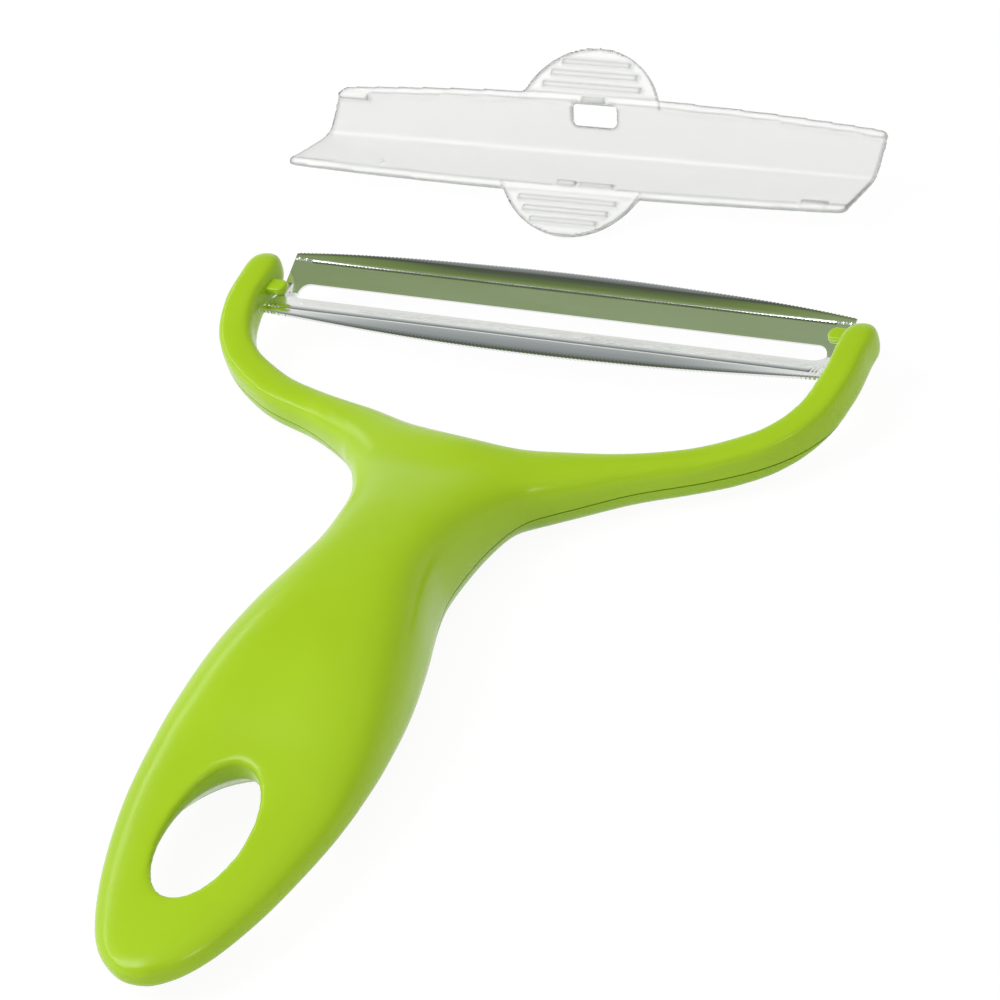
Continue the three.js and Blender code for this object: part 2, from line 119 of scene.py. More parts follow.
def swept_bar(rows, around, along):
    """A closed bar: a flat grid rolled into a tube whose rings follow the rows."""
    bar = bmesh.new()
    bmesh.ops.create_grid(bar, x_segments=around, y_segments=along, size=1)
    for vert in bar.verts:
        turn = math.pi * (vert.co.x + 1)
        place = (vert.co.y + 1) / 2
        x, y, half, low, wide, high, power = row_at(rows, place)
        ahead = row_at(rows, place + SMALL_STEP)
        behind = row_at(rows, place - SMALL_STEP)
        way = Vector((ahead[0] - behind[0], ahead[1] - behind[1])).normalized()
        across = max(half, 0) * soft(math.cos(turn), power)
        lift = soft(math.sin(turn), power)
        rise = max(high - wide, 0) if lift > 0 else max(wide - low, 0)
        vert.co = Vector((x + way.y * across, y - way.x * across, wide + lift * rise)) * MM
    bmesh.ops.remove_doubles(bar, verts=bar.verts[:], dist=SAME_POINT)
    bmesh.ops.recalc_face_normals(bar, faces=bar.faces[:])
    whole = bar.verts[:] + bar.edges[:] + bar.faces[:]
    level = Vector((0, 0, TABLE))
    up = Vector((0, 0, 1))
    cut = bmesh.ops.bisect_plane(bar, geom=whole, plane_co=level, plane_no=up, clear_inner=True)
    rim = [part for part in cut["geom_cut"] if isinstance(part, bmesh.types.BMEdge)]
    bmesh.ops.contextual_create(bar, geom=rim)
    mesh = bpy.data.meshes.new("bar")
    bar.to_mesh(mesh)
    bar.free()
    return mesh


def new_object(name, mesh):
    thing = bpy.data.objects.new(name, mesh)
    scene.collection.objects.link(thing)
    return thing


def settled(thing):
    """The object's mesh with its modifiers worked in; the object itself is taken away."""
    ready = thing.evaluated_get(bpy.context.evaluated_depsgraph_get())
    mesh = bpy.data.meshes.new_from_object(ready)
    bpy.data.objects.remove(thing)
    return mesh


def joined(name, meshes):
    whole = bmesh.new()
    for mesh in meshes:
        whole.from_mesh(mesh)
    mesh = bpy.data.meshes.new(name)
    whole.to_mesh(mesh)
    whole.free()
    return mesh


HOLE_Y = -51.0
HOLE_HALF_WIDTH = 7.5
HOLE_HALF_LENGTH = 13.6
HOLE_RIM = 0.9
TAIL_MIDDLE = 6.0


def grip_face(x, y, top):
    """Height of the grip's upper or lower face over a point near the tail."""
    for a, b in zip(grip_rows, grip_rows[1:]):
        if a[1] <= y <= b[1]:
            t = (y - a[1]) / (b[1] - a[1])
            half, low, wide, high, power = [p + t * (q - p) for p, q in zip(a[2:], b[2:])]
            part = (1 - min(abs(x) / half, 1) ** power) ** (1 / power)
            return wide + part * (high - wide) if top else max(wide - part * (wide - low), TABLE)
    return TAIL_MIDDLE


# Each ring of the hole says whether it follows the top, how deep it lies, and how far it spreads.
top_rings = []
for depth in (-3.0, 0.0, 0.1, 0.25, 0.45, 0.7, HOLE_RIM):
    inward = HOLE_RIM - max(depth, 0)
    spread = HOLE_RIM - math.sqrt(HOLE_RIM ** 2 - inward ** 2)
    top_rings.append((True, depth, spread, spread))
low_rings = [
    (False, 6.4, 0, 0),
    (False, 0.2, 6.0, 6.3),
    (False, 0, 6.2, 6.5),
    (False, -3.0, 6.2, 6.5),
]
hole_rings = top_rings + low_rings
cutter = bmesh.new()
bmesh.ops.create_grid(cutter, x_segments=96, y_segments=len(hole_rings) - 1, size=1)
for vert in cutter.verts:
    turn = math.pi * (vert.co.x + 1)
    top, depth, wider, longer = hole_rings[round((vert.co.y + 1) / 2 * (len(hole_rings) - 1))]
    x = (HOLE_HALF_WIDTH + wider) * math.cos(turn)
    y = HOLE_Y + (HOLE_HALF_LENGTH + longer) * math.sin(turn)
    z = grip_face(x, y, top) + (-depth if top else depth)
    vert.co = Vector((x, y, z)) * MM
bmesh.ops.remove_doubles(cutter, verts=cutter.verts[:], dist=SAME_POINT)
bmesh.ops.holes_fill(cutter, edges=cutter.edges[:])
bmesh.ops.recalc_face_normals(cutter, faces=cutter.faces[:])
cutter_mesh = bpy.data.meshes.new("hole_cutter")
cutter.to_mesh(cutter_mesh)
cutter.free()
hole_cutter = new_object("hole_cutter", cutter_mesh)

HANDLE_GRAIN = 0.55
THROAT_ROUNDS = 70
THROAT_REACH = 46
THROAT_SHRINK = 0.3
THROAT_MIDDLE = 36
THROAT_SHORTER = 20
grip_bar = new_object("grip_bar", swept_bar(grip_rows, 96, 190))
holed = grip_bar.modifiers.new("hanging hole", "BOOLEAN")
holed.operation = "DIFFERENCE"
holed.solver = "EXACT"
holed.object = hole_cutter
grip_mesh = settled(grip_bar)
bpy.data.objects.remove(hole_cutter)
blank = new_object("handle_blank", joined("handle_blank", [grip_mesh, swept_bar(yoke_rows, 64, 400)]))
fuse = blank.modifiers.new("fuse", "REMESH")
fuse.mode = "VOXEL"
fuse.voxel_size = HANDLE_GRAIN * MM
flow = blank.modifiers.new("flow", "SMOOTH")
flow.factor = 0.5
flow.iterations = 8
blank_mesh = settled(blank)
flare = bmesh.new()
flare.from_mesh(blank_mesh)
for step in range(THROAT_ROUNDS):
    reach = (THROAT_REACH - THROAT_SHRINK * step) * MM
    length = reach - THROAT_SHORTER * MM
    middle = THROAT_MIDDLE * MM
    throat = [v for v in flare.verts if abs(v.co.x) < reach and abs(v.co.y - middle) < length]
    bmesh.ops.smooth_vert(
        flare, verts=throat, factor=0.5, use_axis_x=True, use_axis_y=True, use_axis_z=True)
flare.to_mesh(blank_mesh)
flare.free()

# Lower shell: the underside of the handle, moulded in the same lime plastic, which closes the hollow grip.
# It is the part of the blank under the parting line and behind the arms, and carries the upper shell.
PARTING = 4.6
LOWER_END = 72.0
FAR_AWAY = 200.0
PARTING_GAP = 0.12
# The underside's lime is the top's lime painted a little darker, as painted shade on the handle's underside
# and its strip under the parting line.
LIME_SHADED_UNDERSIDE = (0.37, 0.60, 0.012)


def room_under(gap):
    """A block that holds all of the blank under the parting line and behind the arms."""
    room = bmesh.new()
    bmesh.ops.create_cube(room, size=1)
    reach = FAR_AWAY
    low = Vector((-reach, -reach, -reach))
    high = Vector((reach, LOWER_END + gap, PARTING + gap))
    for vert in room.verts:
        vert.co = Vector([(a + b) / 2 + c * (b - a) for a, b, c in zip(low, high, vert.co)]) * MM
    mesh = bpy.data.meshes.new("room_under")
    room.to_mesh(mesh)
    room.free()
    return new_object("room_under", mesh)


def parted(name, operation, gap):
    shell = new_object(name, blank_mesh.copy())
    room = room_under(gap)
    cut = shell.modifiers.new("parting", "BOOLEAN")
    cut.operation = operation
    cut.solver = "EXACT"
    cut.object = room
    mesh = settled(shell)
    bpy.data.objects.remove(room)
    for face in mesh.polygons:
        face.use_smooth = True
    mesh.set_sharp_from_angle(angle=math.radians(40))
    return mesh


def lime_plastic(name, colour):
    """Glossy moulded plastic: an even lime, a faint cloud in its gloss and the softest mould texture."""
    finish = bpy.data.materials.new(name)
    finish.use_nodes = True
    nodes = finish.node_tree.nodes
    links = finish.node_tree.links
    shader = nodes["Principled BSDF"]
    shader.inputs["IOR"].default_value = 1.46
    shader.inputs["Specular IOR Level"].default_value = 0.4
    place = nodes.new("ShaderNodeTexCoord")
    cloud = nodes.new("ShaderNodeTexNoise")
    cloud.inputs["Scale"].default_value = 45
    cloud.inputs["Detail"].default_value = 3
    links.new(place.outputs["Object"], cloud.inputs["Vector"])
    tint = nodes.new("ShaderNodeValToRGB")
    tint.color_ramp.elements[0].position = 0.3
    tint.color_ramp.elements[0].color = [c * 0.97 for c in colour] + [1]
    tint.color_ramp.elements[1].position = 0.7
    tint.color_ramp.elements[1].color = [c * 1.03 for c in colour] + [1]
    links.new(cloud.outputs["Fac"], tint.inputs["Fac"])
    links.new(tint.outputs["Color"], shader.inputs["Base Color"])
    gloss = nodes.new("ShaderNodeMapRange")
    gloss.inputs["To Min"].default_value = 0.20
    gloss.inputs["To Max"].default_value = 0.27
    links.new(cloud.outputs["Fac"], gloss.inputs["Value"])
    links.new(gloss.outputs["Result"], shader.inputs["Roughness"])
    grain = nodes.new("ShaderNodeTexNoise")
    grain.inputs["Scale"].default_value = 900
    grain.inputs["Detail"].default_value = 2
    links.new(place.outputs["Object"], grain.inputs["Vector"])
    bump = nodes.new("ShaderNodeBump")
    bump.inputs["Strength"].default_value = 0.04
    bump.inputs["Distance"].default_value = 0.0001
    links.new(grain.outputs["Fac"], bump.inputs["Height"])
    links.new(bump.outputs["Normal"], shader.inputs["Normal"])
    return finish


lower = new_object("lower_shell", parted("lower_shell", "INTERSECT", -PARTING_GAP))
lower.data.materials.clear()
lower.data.materials.append(lime_plastic("lime underside painted shade", LIME_SHADED_UNDERSIDE))
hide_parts("handle_lower_shell")
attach(lower, "handle")

# Blade: one strip of brushed stainless steel, bent to a shallow valley, slotted along its middle and bowed.
# A fine slit runs along each half, both long edges are ground and toothed, and end tabs sit in the arms.
PIVOT = Vector((0, 80.0, 7.5))
BLADE_HALF = 55.0
BLADE_END_HALF = 7.7
BLADE_BOW = 3.0
SLOT_HALF = 2.05
SLOT_END = 51.9
SLOT_DROP = 0.85
BEND_AT = 6.4
INNER_SLOPE = 0.343
OUTER_SLOPE = 0.20
FAR_BEND = 0.030
NEAR_BEND = 0.012
NEAR_LEDGE = 0.5
NEAR_WIDER = 0.45
FLAT_FROM = 18.0
ALONG_STEPS = 964
SLIT_REACH = 51.6
SLIT_DEPTH = 0.35
SLIT_FADE = 0.6
SLIT_TOOTH_DEPTH = 0.12
FAR_SLIT_TEETH = 0.25
NEAR_SLIT_TEETH = -0.35
GROUND_EDGE = 0.45
GROUND_DROP = 0.09
TOOTH_PITCH = 0.75
TOOTH_DEPTH = 0.22
BLADE_THICK = 0.5
TAB_X = BLADE_HALF + 0.6
TAB_SIZE = (4.2, 3.2, 0.7)
STEEL_COLOUR = (0.82, 0.83, 0.81, 1)
# Each row of a slit gives its offset from the bend and its lift over the sheet.
far_slit = [
    (-0.55, 0),
    (-0.50, 0),
    (-0.34, 0.02),
    (-0.12, -0.07),
    (-0.10, -SLIT_DEPTH),
    (0.22, -SLIT_DEPTH),
    (FAR_SLIT_TEETH, 0),
    (0.32, 0),
]
near_slit = [
    (-0.42, 0),
    (NEAR_SLIT_TEETH, 0),
    (-0.31, -SLIT_DEPTH),
    (0.20, -SLIT_DEPTH),
    (0.23, 0),
    (0.42, 0),
    (0.50, 0),
    (0.58, 0),
]


def tooth_at(x):
    """How deep a tooth's flank lies at a place along the blade, from 0 at its tip to 1 at its root."""
    return abs((x / TOOTH_PITCH) % 1 - 0.5) * 2


def blade_rows(x, slit, bend_at, outer_bend, wider):
    """Pairs of distance from the middle line and height over the pivot, from slot to cutting edge."""
    past = max(abs(x) - (SLOT_END - SLOT_HALF), 0)
    inner = math.sqrt(max(SLOT_HALF ** 2 - past ** 2, 0))
    edge = BLADE_END_HALF + wider + BLADE_BOW * (1 - (x / BLADE_HALF) ** 2)
    flat = min(max((abs(x) - FLAT_FROM) / (BLADE_HALF - FLAT_FROM), 0), 1) ** 2
    outer_slope = OUTER_SLOPE + (INNER_SLOPE - OUTER_SLOPE) * flat
    open_slit = min(max((SLIT_REACH - abs(x)) / SLIT_FADE, 0), 1)
    first = BEND_AT + slit[0][0]
    last = BEND_AT + slit[-1][0]
    ground = edge - GROUND_EDGE
    rows = []
    for part in (0, 0.08, 0.35, 0.7):
        rows.append((inner + (first - inner) * part, 0))
    for offset, lift in slit:
        toothed = SLIT_TOOTH_DEPTH * tooth_at(x) if offset in (FAR_SLIT_TEETH, NEAR_SLIT_TEETH) else 0
        rows.append((BEND_AT + offset - math.copysign(toothed, offset), lift * open_slit))
    for part in (0.15, 0.4, 0.7, 1):
        rows.append((last + (ground - last) * part, 0))
    rows.append((edge - TOOTH_DEPTH * tooth_at(x), -GROUND_DROP))
    heights = []
    for across, lift in rows:
        beyond = max(across - bend_at, 0)
        inward = INNER_SLOPE * (min(across, bend_at) - SLOT_HALF)
        outward = outer_slope * beyond - outer_bend * (1 - flat) * beyond ** 2
        rise = inward + outward
        heights.append((across, rise - SLOT_DROP + lift))
    return heights


strip = bmesh.new()
across_count = len(blade_rows(0, far_slit, BEND_AT, FAR_BEND, 0)) - 1
# Each half has its side, its slit and the rows of faces in that, its bend, its curve and its extra width.
halves = [
    (-1, near_slit, (5, 6, 7), BEND_AT + NEAR_LEDGE, NEAR_BEND, NEAR_WIDER),
    (1, far_slit, (7, 8, 9), BEND_AT, FAR_BEND, 0),
]
for side, slit, slit_walls, bend_at, outer_bend, wider in halves:
    half = bmesh.ops.create_grid(strip, x_segments=ALONG_STEPS, y_segments=across_count, size=1)["verts"]
    # The faces of each slit's walls and floor take the second material, a near-black painted shade.
    for face in {face for vert in half for face in vert.link_faces}:
        middle = face.calc_center_median()
        in_slit = int((middle.y + 1) / 2 * across_count) in slit_walls
        face.material_index = 1 if in_slit and abs(middle.x) * BLADE_HALF < SLIT_REACH else 0
    for vert in half:
        x = vert.co.x * BLADE_HALF
        row = round((vert.co.y + 1) / 2 * across_count)
        across, rise = blade_rows(x, slit, bend_at, outer_bend, wider)[row]
        vert.co = (PIVOT + Vector((x, side * across, rise))) * MM
bmesh.ops.remove_doubles(strip, verts=strip.verts[:], dist=SAME_POINT)
bmesh.ops.recalc_face_normals(strip, faces=strip.faces[:])
if strip.faces[:][0].normal.z < 0:
    bmesh.ops.reverse_faces(strip, faces=strip.faces[:])
blade_mesh = bpy.data.meshes.new("blade")
strip.to_mesh(blade_mesh)
strip.free()
sheet = new_object("blade_sheet", blade_mesh)
wall = sheet.modifiers.new("sheet", "SOLIDIFY")
wall.thickness = BLADE_THICK * MM
wall.offset = 0
sheet_mesh = settled(sheet)
tabs = bmesh.new()
for side in (-1, 1):
    tab = bmesh.ops.create_cube(tabs, size=1)["verts"]
    place = PIVOT + Vector((side * TAB_X, 0, -SLOT_DROP))
    bmesh.ops.scale(tabs, vec=Vector(TAB_SIZE) * MM, verts=tab)
    bmesh.ops.translate(tabs, vec=place * MM, verts=tab)
tabs_mesh = bpy.data.meshes.new("tabs")
tabs.to_mesh(tabs_mesh)
tabs.free()
blade = new_object("steel_blade", joined("steel_blade", [sheet_mesh, tabs_mesh]))
for face in blade.data.polygons:
    face.use_smooth = True
blade.data.set_sharp_from_angle(angle=math.radians(35))
steel = bpy.data.materials.new("brushed steel")
steel.use_nodes = True
nodes = steel.node_tree.nodes
links = steel.node_tree.links
shader = nodes["Principled BSDF"]
shader.inputs["Metallic"].default_value = 1.0
shader.inputs["Base Color"].default_value = STEEL_COLOUR
place = nodes.new("ShaderNodeTexCoord")
brush = nodes.new("ShaderNodeMapping")
brush.inputs["Scale"].default_value = (60, 2600, 2600)
links.new(place.outputs["Object"], brush.inputs["Vector"])
scratch = nodes.new("ShaderNodeTexNoise")
scratch.inputs["Scale"].default_value = 1
scratch.inputs["Detail"].default_value = 4
links.new(brush.outputs["Vector"], scratch.inputs["Vector"])
gloss = nodes.new("ShaderNodeMapRange")
gloss.inputs["To Min"].default_value = 0.1
gloss.inputs["To Max"].default_value = 0.18
links.new(scratch.outputs["Fac"], gloss.inputs["Value"])
links.new(gloss.outputs["Result"], shader.inputs["Roughness"])
bump = nodes.new("ShaderNodeBump")
bump.inputs["Strength"].default_value = 0.12
bump.inputs["Distance"].default_value = 0.00005
links.new(scratch.outputs["Fac"], bump.inputs["Height"])
links.new(bump.outputs["Normal"], shader.inputs["Normal"])
# Painted shade: a near-black steel with faint specks on the slit's walls and floor, which stands in for the
# shade down in the narrow slit.
slit_painted_shade = bpy.data.materials.new("slit painted shade")
slit_painted_shade.use_nodes = True
nodes = slit_painted_shade.node_tree.nodes
links = slit_painted_shade.node_tree.links
shader = nodes["Principled BSDF"]
shader.inputs["Metallic"].default_value = 1.0
place = nodes.new("ShaderNodeTexCoord")
speck = nodes.new("ShaderNodeTexNoise")
speck.inputs["Scale"].default_value = 900
links.new(place.outputs["Object"], speck.inputs["Vector"])
dark = nodes.new("ShaderNodeValToRGB")
dark.color_ramp.elements[0].color = (0.02, 0.021, 0.02, 1)
dark.color_ramp.elements[1].color = (0.07, 0.073, 0.07, 1)
links.new(speck.outputs["Fac"], dark.inputs["Fac"])
links.new(dark.outputs["Color"], shader.inputs["Base Color"])
shader.inputs["Roughness"].default_value = 0.5
blade.data.materials.append(steel)
blade.data.materials.append(slit_painted_shade)
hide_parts("blade")
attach(blade, "blade")

# Upper shell: the glossy top of the handle with the dome of the grip, the yoke and both arms.
# It is moulded in one piece, with a small stop tongue on each arm that reaches over the blade's end.
STOP_SIZE = (4.6, 3.0, 1.5)
STOP_X = 54.4
STOP_Z = 9.25
STOP_STAGGER = 2.3
STOP_ROUND = 1.3
STOP_EDGE = 0.4
LIME_TOP = (0.405, 0.638, 0.013)
upper_mesh = parted("upper_shell", "DIFFERENCE", PARTING_GAP)
stops = bmesh.new()
for side in (-1, 1):
    stop = bmesh.ops.create_cube(stops, size=1)["verts"]
    bmesh.ops.scale(stops, vec=Vector(STOP_SIZE) * MM, verts=stop)
    place = Vector((side * STOP_X, PIVOT.y + side * STOP_STAGGER, STOP_Z))
    bmesh.ops.translate(stops, vec=place * MM, verts=stop)
upright = [e for e in stops.edges if abs(e.verts[0].co.z - e.verts[1].co.z) > 0.0005]
bmesh.ops.bevel(
    stops, geom=upright, offset=STOP_ROUND * MM, affect="EDGES", segments=5, profile=0.5, material=-1)
flat = [e for e in stops.edges if abs(e.verts[0].co.z - e.verts[1].co.z) < 0.0005]
bmesh.ops.bevel(
    stops, geom=flat, offset=STOP_EDGE * MM, affect="EDGES", segments=3, profile=0.5, material=-1)
for face in stops.faces:
    face.smooth = True
stops_mesh = bpy.data.meshes.new("stops")
stops.to_mesh(stops_mesh)
stops.free()
upper = new_object("upper_shell", joined("upper_shell", [upper_mesh, stops_mesh]))
upper.data.materials.clear()
upper.data.materials.append(lime_plastic("lime top", LIME_TOP))
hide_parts("handle_upper_shell")
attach(upper, "handle")

# Blade cover: one thin clear moulding, a trough that snaps over the blade, lying beside the slicer.
# A ribbed finger grip stands out on each long side, and a window with a catch is cut near the middle.
COVER_HALF = 54.2
COVER_END_HALF = 7.7
UPPER_BOW = 2.1
LOWER_BOW = 1.0
COVER_SLANT = 3.4
LOWER_FLARE = 1.6
CORNER_ROUND = 1.6
FOLD_ROUND = 1.5
COVER_RISE = 4.0
COVER_WALL = 1.2
LIP_WIDTH = 1.6
UPPER_LIP = 0.5
LOWER_LIP = 0.3
FINGER_HALF = 13.2
UPPER_REACH = 8.8
LOWER_REACH = 7.7
FINGER_X = -1.2
RIM_WIDTH = 1.0
RIM_RISE = 0.6
RIB_PLACES = (0.16, 0.41, 0.66)
RIB_SHARE = 0.78
RIB_WIDTH = 1.0
RIB_TALL = 1.6
RIB_SINK = 0.2
WINDOW_SIZE = (8.8, 3.9, 20)
WINDOW_PLACE = (-0.2, 6.7, 2)
WINDOW_ROUND = 0.9
COVER_TURN = math.radians(1.6)
COVER_LEAN = math.radians(32.9)
COVER_X = -13.0
COVER_Y = 123.9
COVER_CLEAR = 0.4
COVER_GRAIN = 0.3
trough = bmesh.new()
bmesh.ops.create_grid(trough, x_segments=120, y_segments=90, size=1)
for vert in trough.verts:
    u, v = vert.co.x, vert.co.y
    bow = UPPER_BOW if v > 0 else LOWER_BOW
    edge = COVER_END_HALF + bow * (1 - u ** 2)
    y = v * edge
    corner = min(max(abs(y) - edge + CORNER_ROUND, 0), CORNER_ROUND)
    shorter = CORNER_ROUND - math.sqrt(CORNER_ROUND ** 2 - corner ** 2)
    flare = LOWER_FLARE * max(-v, 0) ** 1.5
    x = u * (COVER_HALF + flare - shorter) + COVER_SLANT * v
    slope_end = edge - LIP_WIDTH
    fold = math.sqrt(y ** 2 + FOLD_ROUND) - math.sqrt(FOLD_ROUND)
    full = math.sqrt(slope_end ** 2 + FOLD_ROUND) - math.sqrt(FOLD_ROUND)
    lip = UPPER_LIP if y > slope_end else LOWER_LIP if y < -slope_end else 0
    vert.co = Vector((x, y, COVER_RISE * min(fold / full, 1) + lip)) * MM
bmesh.ops.solidify(trough, geom=trough.faces[:], thickness=COVER_WALL * MM)
bmesh.ops.recalc_face_normals(trough, faces=trough.faces[:])
trough_mesh = bpy.data.meshes.new("trough")
trough.to_mesh(trough_mesh)
trough.free()

window = bmesh.new()
bmesh.ops.create_cube(window, size=1)
bmesh.ops.scale(window, vec=Vector(WINDOW_SIZE) * MM, verts=window.verts[:])
bmesh.ops.translate(window, vec=Vector(WINDOW_PLACE) * MM, verts=window.verts[:])
corners = [e for e in window.edges if abs(e.verts[0].co.z - e.verts[1].co.z) > 0.005]
bmesh.ops.bevel(
    window, geom=corners, offset=WINDOW_ROUND * MM, affect="EDGES", segments=4, profile=0.5, material=-1)
window_mesh = bpy.data.meshes.new("window")
window.to_mesh(window_mesh)
window.free()
window_cutter = new_object("window_cutter", window_mesh)
trough_piece = new_object("trough", trough_mesh)
opened = trough_piece.modifiers.new("window", "BOOLEAN")
opened.operation = "DIFFERENCE"
opened.solver = "EXACT"
opened.object = window_cutter
opened_mesh = settled(trough_piece)
bpy.data.objects.remove(window_cutter)

grips = bmesh.new()
for side, bow, out in ((-1, LOWER_BOW, LOWER_REACH), (1, UPPER_BOW, UPPER_REACH)):
    long_edge = COVER_END_HALF + bow
    finger_radius = (FINGER_HALF ** 2 + out ** 2) / (2 * out)
    finger_centre = long_edge + out - finger_radius
    pad = bmesh.new()
    bmesh.ops.create_circle(pad, cap_ends=True, segments=120, radius=finger_radius * MM)
    bmesh.ops.translate(pad, vec=Vector((0, finger_centre, COVER_RISE)) * MM, verts=pad.verts[:])
    whole = pad.verts[:] + pad.edges[:] + pad.faces[:]
    chord = Vector((0, long_edge - LIP_WIDTH, 0)) * MM
    bmesh.ops.bisect_plane(pad, geom=whole, plane_co=chord, plane_no=(0, 1, 0), clear_inner=True)
    bmesh.ops.inset_region(pad, faces=pad.faces[:], thickness=RIM_WIDTH * MM)
    floor_face = max(pad.faces, key=lambda face: face.calc_area())
    bmesh.ops.translate(pad, vec=Vector((0, 0, RIM_RISE)) * MM, verts=pad.verts[:])
    sunk = bmesh.ops.extrude_discrete_faces(pad, faces=[floor_face])["faces"][0]
    bmesh.ops.translate(pad, vec=Vector((0, 0, -RIM_RISE)) * MM, verts=sunk.verts[:])
    under = bmesh.ops.extrude_edge_only(pad, edges=[e for e in pad.edges if e.is_boundary])["geom"]
    lowered = [part for part in under if isinstance(part, bmesh.types.BMVert)]
    bmesh.ops.translate(pad, vec=Vector((0, 0, -COVER_WALL - RIM_RISE)) * MM, verts=lowered)
    bmesh.ops.holes_fill(pad, edges=[e for e in pad.edges if e.is_boundary])
    for place in RIB_PLACES:
        y = long_edge + place * out
        reach = RIB_SHARE * math.sqrt(finger_radius ** 2 - (y - finger_centre) ** 2)
        rib = bmesh.ops.create_cube(pad, size=1)["verts"]
        bmesh.ops.scale(pad, vec=Vector((2 * reach, RIB_WIDTH, RIB_TALL)) * MM, verts=rib)
        bmesh.ops.translate(pad, vec=Vector((0, y, COVER_RISE - RIB_SINK)) * MM, verts=rib)
    bmesh.ops.scale(pad, vec=Vector((1, side, 1)), verts=pad.verts[:])
    bmesh.ops.translate(pad, vec=Vector((FINGER_X, 0, 0)) * MM, verts=pad.verts[:])
    bmesh.ops.recalc_face_normals(pad, faces=pad.faces[:])
    pad_mesh = bpy.data.meshes.new("pad")
    pad.to_mesh(pad_mesh)
    pad.free()
    grips.from_mesh(pad_mesh)
# Each catch has its place and its size.
catch_places = [
    ((-48.2, 6.0, 3.9), (6.0, 1.2, 1.4)),
    ((-2.2, -6.6, 3.9), (3.8, 1.0, 1.2)),
    ((3.7, -6.6, 3.8), (6.8, 0.8, 1.2)),
    ((46.0, -6.6, 3.9), (5.0, 1.6, 1.0)),
    ((-0.2, 8.8, 4.3), (4.6, 0.9, 1.4)),
]
for place, size in catch_places:
    catch = bmesh.ops.create_cube(grips, size=1)["verts"]
    bmesh.ops.scale(grips, vec=Vector(size) * MM, verts=catch)
    bmesh.ops.translate(grips, vec=Vector(place) * MM, verts=catch)
grips_mesh = bpy.data.meshes.new("grips")
grips.to_mesh(grips_mesh)
grips.free()
moulding = new_object("moulding", joined("moulding", [opened_mesh, grips_mesh]))
fuse = moulding.modifiers.new("fuse", "REMESH")
fuse.mode = "VOXEL"
fuse.voxel_size = COVER_GRAIN * MM
flow = moulding.modifiers.new("flow", "SMOOTH")
flow.factor = 0.5
flow.iterations = 3
cover_mesh = settled(moulding)
lean = Matrix.Rotation(COVER_TURN, 4, "Z") @ Matrix.Rotation(COVER_LEAN, 4, "X")
cover_mesh.transform(lean)
foot = min(vert.co.z for vert in cover_mesh.vertices)
place = Vector((COVER_X * MM, COVER_Y * MM, COVER_CLEAR * MM - foot))
cover_mesh.transform(Matrix.Translation(place))
for face in cover_mesh.polygons:
    face.use_smooth = True
cover = new_object("clear_cover", cover_mesh)
clear = bpy.data.materials.new("clear plastic")
clear.use_nodes = True
nodes = clear.node_tree.nodes
links = clear.node_tree.links
shader = nodes["Principled BSDF"]
shader.inputs["Transmission Weight"].default_value = 0.7
shader.inputs["IOR"].default_value = 1.4
# Painted shade: this ramp colours the cover greyer where a wall is seen at a glancing angle, standing in
# for the darker look refraction gives a clear wall.
glancing = nodes.new("ShaderNodeLayerWeight")
glancing.inputs["Blend"].default_value = 0.35
depth = nodes.new("ShaderNodeValToRGB")
depth.color_ramp.elements[0].color = (0.985, 0.985, 0.98, 1)
depth.color_ramp.elements[1].color = (0.80, 0.82, 0.81, 1)
depth.color_ramp.elements[0].position = 0.35
links.new(glancing.outputs["Facing"], depth.inputs["Fac"])
# Painted shade: sharp convex edges of the moulding are coloured mid grey, dark lines that stand in for the
# shade refraction draws along a clear moulding's edges.
surface = nodes.new("ShaderNodeNewGeometry")
edge_shade_mask = nodes.new("ShaderNodeMapRange")
edge_shade_mask.inputs["From Min"].default_value = 0.505
edge_shade_mask.inputs["From Max"].default_value = 0.545
links.new(surface.outputs["Pointiness"], edge_shade_mask.inputs["Value"])
edge_shaded = nodes.new("ShaderNodeMix")
edge_shaded.data_type = "RGBA"
edge_shaded.inputs[7].default_value = (0.50, 0.52, 0.51, 1)
links.new(edge_shade_mask.outputs["Result"], edge_shaded.inputs[0])
links.new(depth.outputs["Color"], edge_shaded.inputs[6])
links.new(edge_shaded.outputs[2], shader.inputs["Base Color"])
place = nodes.new("ShaderNodeTexCoord")
cloud = nodes.new("ShaderNodeTexNoise")
cloud.inputs["Scale"].default_value = 120
cloud.inputs["Detail"].default_value = 3
links.new(place.outputs["Object"], cloud.inputs["Vector"])
gloss = nodes.new("ShaderNodeMapRange")
gloss.inputs["To Min"].default_value = 0.2
gloss.inputs["To Max"].default_value = 0.3
links.new(cloud.outputs["Fac"], gloss.inputs["Value"])
links.new(gloss.outputs["Result"], shader.inputs["Roughness"])
bump = nodes.new("ShaderNodeBump")
bump.inputs["Strength"].default_value = 0.05
bump.inputs["Distance"].default_value = 0.0002
links.new(cloud.outputs["Fac"], bump.inputs["Height"])
links.new(bump.outputs["Normal"], shader.inputs["Normal"])
cover.data.materials.clear()
cover.data.materials.append(clear)
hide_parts("blade_cover")
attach(cover, "cover")

